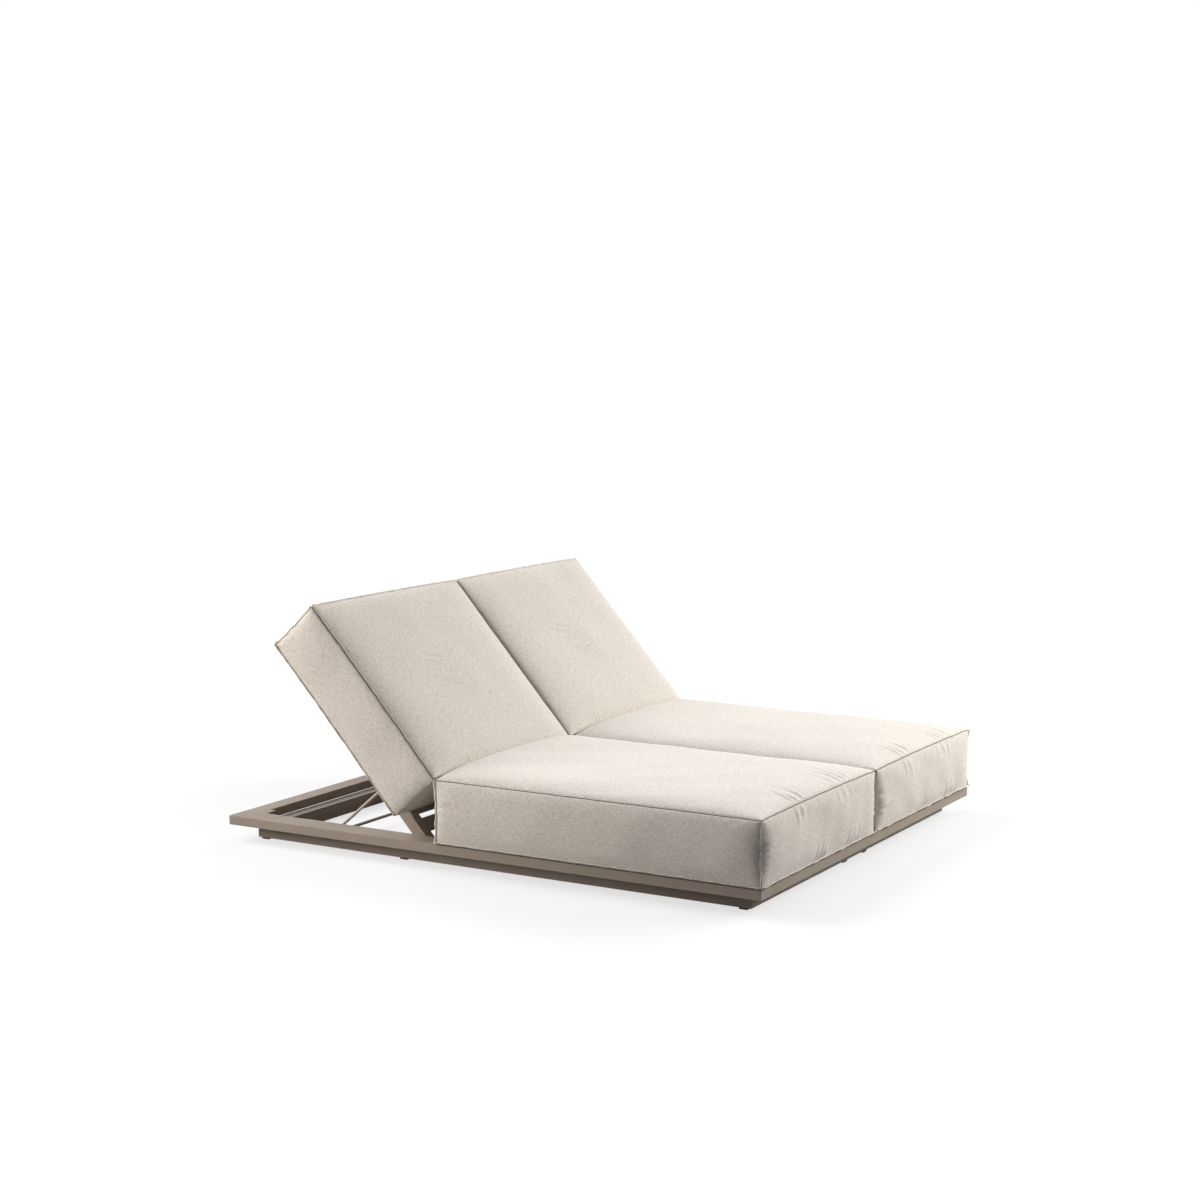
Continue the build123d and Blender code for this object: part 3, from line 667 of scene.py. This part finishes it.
lip = {  # the folded welt along a seam, or the dark cord that paints the shadow in its groove, metres
    "half": {"longTop": 0.0010, "footTop": 0.0010, "headTop": 0.0010, "longLow": 0.0015, "footLow": 0.0016,
             "inner": 0.0010, "meetLow": 0.0010},  # half the thickness
    "shadeCordHalf": 0.0014,
    "sink": 0.0014,  # depth of the root in the seam
    "lowering": 0.25,  # share of the groove's depth by which the lower ones hang lower
    "ear": 0.003,  # how far an end sticks out
    "restingRise": 0.42,  # how steeply the lower ones stand up from what the cushion rests on
    "turnedShare": 0.35,  # and how much those beside the next cushion still turn to it
    "sway": 0.30, "headSway": 1.5, "lowSway": 0.35, "swayLengths": (0.17, 0.11, 0.06),
    "unevenness": 0.10, "unevenLengths": (0.09, 0.05),
    "outline": ((0.0, -1.1), (0.45, -1.0), (0.86, -1.15), (1.0, -0.55), (0.90, 0.0),
                (1.0, 0.55), (0.86, 1.15), (0.45, 1.0), (0.0, 1.1)),  # shares of height and half, 0 is the root
    "clothStep": 0.0017, "capStep": 0.001,  # cloth taken between two points of the outline, and at an end
}


def seamKind(axis, ends, look):  # ends are 0 or -1 on the two other axes
    if axis != 0 and (ends[0] == 0) == (look["innerSide"] == 0):
        return "inner"
    if axis == 2:
        return "uprightFoot" if ends[1] == 0 else "uprightHead"
    if ends[1] == 0 and axis == 0 and (ends[0] == 0) == (look["meeting"] == "foot"):
        return "meetLow"
    if ends[1] == 0:  # on the lower face
        return "longLow" if axis == 1 or ends[0] else "footLow"
    if axis == 0:
        return "headTop" if ends[0] else "footTop"
    return "longTop"


def seamLines(ids, look):  # the twelve seams: axis, ends, points, and the way in which the welt stands
    for axis, others in enumerate(otherAxes):
        for first, second in ((0, 0), (0, -1), (-1, 0), (-1, -1)):
            picked = [slice(None)] * 3
            outward = np.zeros(3)
            for k, end in zip(others, (first, second)):
                picked[k] = end
                outward[k] = -1 if end == 0 else 1
            if axis != 2 and second == 0:
                outward[2] = lip["restingRise"]
            elif axis == 2 and (second == 0) == (look["meeting"] == "foot"):
                outward[1] *= lip["turnedShare"]
            yield axis, (first, second), ids[tuple(picked)], outward / np.linalg.norm(outward)


def unit(vectors):
    return vectors / np.linalg.norm(vectors, axis=1)[:, None]


def seamLips(name, ids, shape, look, shadeCorded, material):  # the dark cords that paint the groove shadow of the shaded seams, or the welts of the others
    points, faces, corners, threads = [], [], [], []
    for number, (axis, ends, line, outward) in enumerate(seamLines(ids, look)):
        kind = seamKind(axis, ends, look)
        if (kind in look["shadeCorded"]) != shadeCorded:
            continue
        low = axis != 2 and ends[1] == 0
        path = shape[line].copy()
        tangent = unit(np.gradient(path, axis=0))
        if low:
            path[:, 2] -= seamGroove["depth"] * lip["lowering"]
        path[0] -= tangent[0] * lip["ear"]
        path[-1] += tangent[-1] * lip["ear"]
        run = np.concatenate([[0], np.cumsum(np.linalg.norm(np.diff(path, axis=0), axis=1))])
        swayShare = lip["headSway"] if kind == "uprightHead" else lip["lowSway"] if low else 1.0
        swaying = waves(run, look["seed"] + seedSteps["sway"] + number, lip["swayLengths"])[:, None]
        sway = lip["sway"] * swayShare * swaying
        up = outward * np.cos(sway) + unit(np.cross(tangent, outward)) * np.sin(sway)
        across = np.cross(up, tangent)
        uneven = waves(run, look["seed"] + seedSteps["height"] + number, lip["unevenLengths"])[:, None]
        tall = look["lips"][kind] * (1 + lip["unevenness"] * uneven)
        threads.append((path + up * tall * stitching["up"], across))
        half = lip["shadeCordHalf"] if shadeCorded else {**lip["half"], **look["uprightHalf"]}[kind]
        start, columns = sum(len(p) for p in points), len(lip["outline"])
        ring = [path + (up * tall * rise if rise else up * -lip["sink"]) + across * (half * wide)
                for rise, wide in lip["outline"]]
        points.append(np.stack(ring, 1).reshape(-1, 3))  # along the seam by round the welt
        steps = [k * lip["clothStep"] for k in range(columns + 1)]
        for r in range(len(path) - 1):
            here, there = start + r * columns, start + (r + 1) * columns
            for k in range(columns):
                n = (k + 1) % columns
                faces.append((here + k, here + n, there + n, there + k))
                corners += [(run[r], steps[k]), (run[r], steps[k + 1]),
                            (run[r + 1], steps[k + 1]), (run[r + 1], steps[k])]
        for cap in (range(start + columns - 1, start - 1, -1), range(there, there + columns)):
            faces.append(tuple(cap))
            corners += [(lip["capStep"] * k, lip["capStep"] * (k % 3)) for k in range(columns)]
    return sewnObject(name, np.concatenate(points), faces, corners, material), threads


stitching = {
    "pitch": 0.0068, "length": 0.0046, "width": 0.0029, "height": 0.0008,  # metres
    "up": 0.62,  # share of the welt's height
    "unevenness": 0.18, "seed": 7,
    "thread": ((0.62, 0.55, 0.47), 0.7, 2500.0),  # colour, roughness, grains per metre
}


def stitchNodes():  # a small flattened thread at every pitch along each seam line
    tree = bpy.data.node_groups.new("seamStitches", "GeometryNodeTree")
    bench, inputs = NodeBench(tree), {}
    for label, kind in (("Seam lines", "Geometry"), ("Pitch", "Float"), ("Length", "Float"), ("Width", "Float"),
                        ("Height", "Float"), ("Unevenness", "Float"), ("Seed", "Int"), ("Thread", "Material")):
        socket = tree.interface.new_socket(label, in_out="INPUT", socket_type="NodeSocket" + kind)
        inputs[label] = socket.identifier
    tree.interface.new_socket("Stitches", in_out="OUTPUT", socket_type="NodeSocketGeometry")
    given = bench.add("NodeGroupInput").outputs
    curve = bench.add("GeometryNodeMeshToCurve", given["Seam lines"]).outputs[0]
    spaced = bench.fill(bench.add("GeometryNodeResampleCurve", mode="LENGTH"), Curve=curve, Length=given["Pitch"])
    stitch = bench.fill(bench.add("GeometryNodeMeshCylinder"), Vertices=6, Radius=0.5, Depth=1.0)
    across = bench.fill(bench.add("GeometryNodeInputNamedAttribute", data_type="FLOAT_VECTOR"), Name="across")
    tangent = bench.add("GeometryNodeInputTangent").outputs[0]
    turn = bench.add("FunctionNodeAxesToRotation", tangent, across.outputs[0], primary_axis="Z", secondary_axis="X")
    uneven = bench.fill(bench.add("FunctionNodeRandomValue"), Seed=given["Seed"])
    bench.put(uneven.inputs[2], bench.math("SUBTRACT", 1.0, given["Unevenness"]))
    bench.put(uneven.inputs[3], bench.math("ADD", 1.0, given["Unevenness"]))
    longer = bench.math("MULTIPLY", given["Length"], uneven.outputs[1])
    measures = bench.add("ShaderNodeCombineXYZ", given["Width"], given["Height"], longer)
    laid = bench.fill(bench.add("GeometryNodeInstanceOnPoints"), Points=spaced.outputs[0],
                      Instance=stitch.outputs["Mesh"], Rotation=turn.outputs[0], Scale=measures.outputs[0])
    real = bench.add("GeometryNodeRealizeInstances", laid.outputs[0])
    dyed = bench.fill(bench.add("GeometryNodeSetMaterial"), Geometry=real.outputs[0], Material=given["Thread"])
    bench.add("NodeGroupOutput", dyed.outputs[0])
    return tree, inputs


stitchTree, stitchInputs = stitchNodes()
threadDye = mouldedPlastic("sewingThread", *stitching["thread"])


def laidStitches(name, threads):
    points, edges, across = [], [], []
    for line, sideways in threads:
        start = len(points)
        points += line.tolist()
        across += sideways.tolist()
        edges += [(k, k + 1) for k in range(start, len(points) - 1)]
    mesh = bpy.data.meshes.new(name + "Lines")
    mesh.from_pydata(points, edges, [])
    attribute = mesh.attributes.new("across", "FLOAT_VECTOR", "POINT")
    attribute.data.foreach_set("vector", np.array(across, np.float32).ravel())
    lines = addedToScene(bpy.data.objects.new(name + "Lines", mesh))
    modifier = lines.modifiers.new("stitches", "NODES")
    modifier.node_group = stitchTree
    for label in ("Pitch", "Length", "Width", "Height", "Unevenness", "Seed"):
        modifier[stitchInputs[label]] = stitching[label.lower()]
    modifier[stitchInputs["Thread"]] = threadDye
    bpy.context.view_layer.update()
    sewn = lines.evaluated_get(bpy.context.evaluated_depsgraph_get())
    laid = addedToScene(bpy.data.objects.new(name, bpy.data.meshes.new_from_object(sewn)))
    bpy.data.objects.remove(lines)
    return laid


def facedOutward(obj):
    bm = bmesh.new()
    bm.from_mesh(obj.data)
    bmesh.ops.recalc_face_normals(bm, faces=bm.faces)
    bm.to_mesh(obj.data)
    bm.free()


fabric = finishes["cushion_fabric"]
# the cord's cloth is darkened to paint the shadow in the seam grooves
seamShadeCloth = wovenFabric("seamShadeCloth", dict(weave, **seamShadePaint))
hinge = next(j for j in frame["joints"] if j["name"] == "back_left_hinge")["pos_m"]


def makeCushions(kind, look, folds, placeOf):
    for number, side in enumerate(("left", "right")):
        faces = {"left": "inner", "right": "outer"} if number else {"left": "outer", "right": "inner"}
        own = {**look, "seed": look["seed"] + number, "faces": faces, "innerSide": 1 - number,
               "meeting": "head" if kind == "seat" else "foot",  # the end that meets the other cushion
               "size": (look["width"], look["length"], look["thickness"])}
        ids, flat, panels, shape = shapedCushion(own, folds)
        piece = cushionCover(kind + "Cushion" + side.capitalize(), shape, flat, panels, fabric)
        welt, threads = seamLips(kind + "Welts" + side.capitalize(), ids, shape, own, False, fabric)
        # dark cords painted into the seam grooves as their shadow
        shadeCord, _ = seamLips(kind + "ShadeCord" + side.capitalize(), ids, shape, own, True, seamShadeCloth)
        stitches = laidStitches(kind + "Stitches" + side.capitalize(), threads)
        facedOutward(welt)
        facedOutward(shadeCord)
        shift = Matrix.Translation((twinShift * number, 0, 0))
        for obj in (piece, welt, shadeCord, stitches):
            obj.data.transform(shift @ placeOf(own))
            obj.data.update()
            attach(obj, "base" if kind == "seat" else "cushion_" + side)
        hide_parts(f"{kind}_cushion_cover_{side}", f"{kind}_cushion_foam_{side}")
    print(kind, "cushions made")


def seatPlace(look):
    return Matrix.Translation(look["corner"])


def backPlace(look):
    turned = Matrix.Translation((0, hinge[1], hinge[2])) @ Matrix.Rotation(math.radians(look["tilt"]), 4, "X")
    return turned @ Matrix.Translation((seatCushion["corner"][0], look["start"], look["offset"]))


makeCushions("seat", seatCushion, seatFolds, seatPlace)
makeCushions("back", backCushion, backFolds, backPlace)


camera = {  # metres, degrees and millimetres
    "place": (-6.5155, -3.7407, 1.7402), "turn": (80.75, 0, -59.89), "lens": 65.63, "sensor": 36.0,
    "shiftY": 0.0664, "nearest": 0.1, "farthest": 200,
}
eye = addedToScene(bpy.data.objects.new("camera", bpy.data.cameras.new("camera")))
eye.location = camera["place"]
eye.rotation_euler = [math.radians(t) for t in camera["turn"]]
eye.data.lens, eye.data.sensor_width, eye.data.shift_y = camera["lens"], camera["sensor"], camera["shiftY"]
eye.data.clip_start, eye.data.clip_end = camera["nearest"], camera["farthest"]
bpy.context.scene.camera = eye
bpy.context.scene.view_settings.view_transform = "Standard"

studio = {
    "skyLight": 0.0, "skySeen": 1.0,  # the sky gives no light but is white where it is seen or mirrored
    "floorReach": 60, "floorColour": 0.28,
    "floorGlow": (0.69, 0.88), "glowReach": (1.4, 4.5),  # seen glow, paler from the first distance to the second
    "key": (0.92, 0.96, 1.0), "soft": (1.0, 0.985, 0.96), "fill": (1.0, 0.943, 0.897),  # lamp colours
    "lamps": {  # kind, colour, place, aim, size in metres or angle in degrees, strength
        "highHead": ("SUN", "key", (0.0, 4.0, 4.0), (0, 0, 0), 30, 2.17),
        "highHeadLeft": ("SUN", "fill", (-3.0, 3.0, 4.2), (0, 0, 0), 30, 0.39),
        "lowRight": ("SUN", "key", (4.0, 0.0, 2.1), (0, 0, 0), 20, 0.92),
        "lowFootRight": ("SUN", "soft", (3.0, -3.0, 2.2), (0, 0, 0), 20, 1.32),
        "headLeftLow": ("AREA", "fill", (-2.6, 2.6, 1.0), (-0.8, 0.4, 0.4), 0.8, 41),
        "headLeftNear": ("AREA", "fill", (-2.0, 1.3, 1.6), (-0.8, 0.3, 0.4), 0.8, 8),
        "nearSide": ("AREA", "fill", (-1.9, 0.14, 0.24), (-0.85, -0.15, 0.14), 0.5, 2.0),
        "footRight": ("AREA", "soft", (3.6, -3.0, 2.2), (0.3, -0.6, 0.2), 1.6, 157),
        "footLow": ("AREA", "soft", (1.2, -3.6, 0.9), (0.3, -1.0, 0.2), 1.0, 14),
    },
}


def lamp(name, kind, colour, place, aim, size, strength):
    data = bpy.data.lights.new(name, kind)
    data.color = studio[colour]
    if kind == "SUN":
        data.angle = math.radians(size)
    else:
        data.shape, data.size = "SQUARE", size
    data.energy = strength
    obj = addedToScene(bpy.data.objects.new(name, data))
    obj.location = place
    obj.rotation_euler = (Vector(aim) - Vector(place)).to_track_quat("-Z", "Y").to_euler()
    obj.visible_camera = False


for name, values in studio["lamps"].items():
    lamp(name, *values)

world = bpy.data.worlds.new("paleRoom")
bpy.context.scene.world = world
world.use_nodes = True
sky = NodeBench(world.node_tree)
ray = sky.add("ShaderNodeLightPath").outputs
mirrored = sky.math("MAXIMUM", ray["Is Glossy Ray"], ray["Is Transmission Ray"])
seen = sky.math("MAXIMUM", ray["Is Camera Ray"], mirrored)
dim, bright = (sky.add("ShaderNodeBackground", (1, 1, 1), studio[kind]).outputs[0]
               for kind in ("skyLight", "skySeen"))
sky.add("ShaderNodeOutputWorld", sky.add("ShaderNodeMixShader", seen, dim, bright).outputs[0])

reach = studio["floorReach"]
floorMesh = bpy.data.meshes.new("floor")
floorCorners = [(-reach, -reach, 0), (reach, -reach, 0), (reach, reach, 0), (-reach, reach, 0)]
floorMesh.from_pydata(floorCorners, [], [(0, 1, 2, 3)])
floor = addedToScene(bpy.data.objects.new("floor", floorMesh))
paint = MaterialBench("paleFloor")
matt = paint.add("ShaderNodeBsdfDiffuse", (studio["floorColour"],) * 3)
away = paint.add("ShaderNodeVectorMath", paint.onPiece(), operation="LENGTH").outputs["Value"]
paler = paint.ramp(away, *studio["glowReach"], *studio["floorGlow"])
strength = paint.math("MULTIPLY", paint.add("ShaderNodeLightPath").outputs["Is Camera Ray"], paler)
glow = paint.fill(paint.add("ShaderNodeEmission"), Strength=strength)
both = paint.add("ShaderNodeAddShader", matt.outputs[0], glow.outputs[0])
floorMesh.materials.append(paint.shown(both.outputs[0]))
print("studio set")
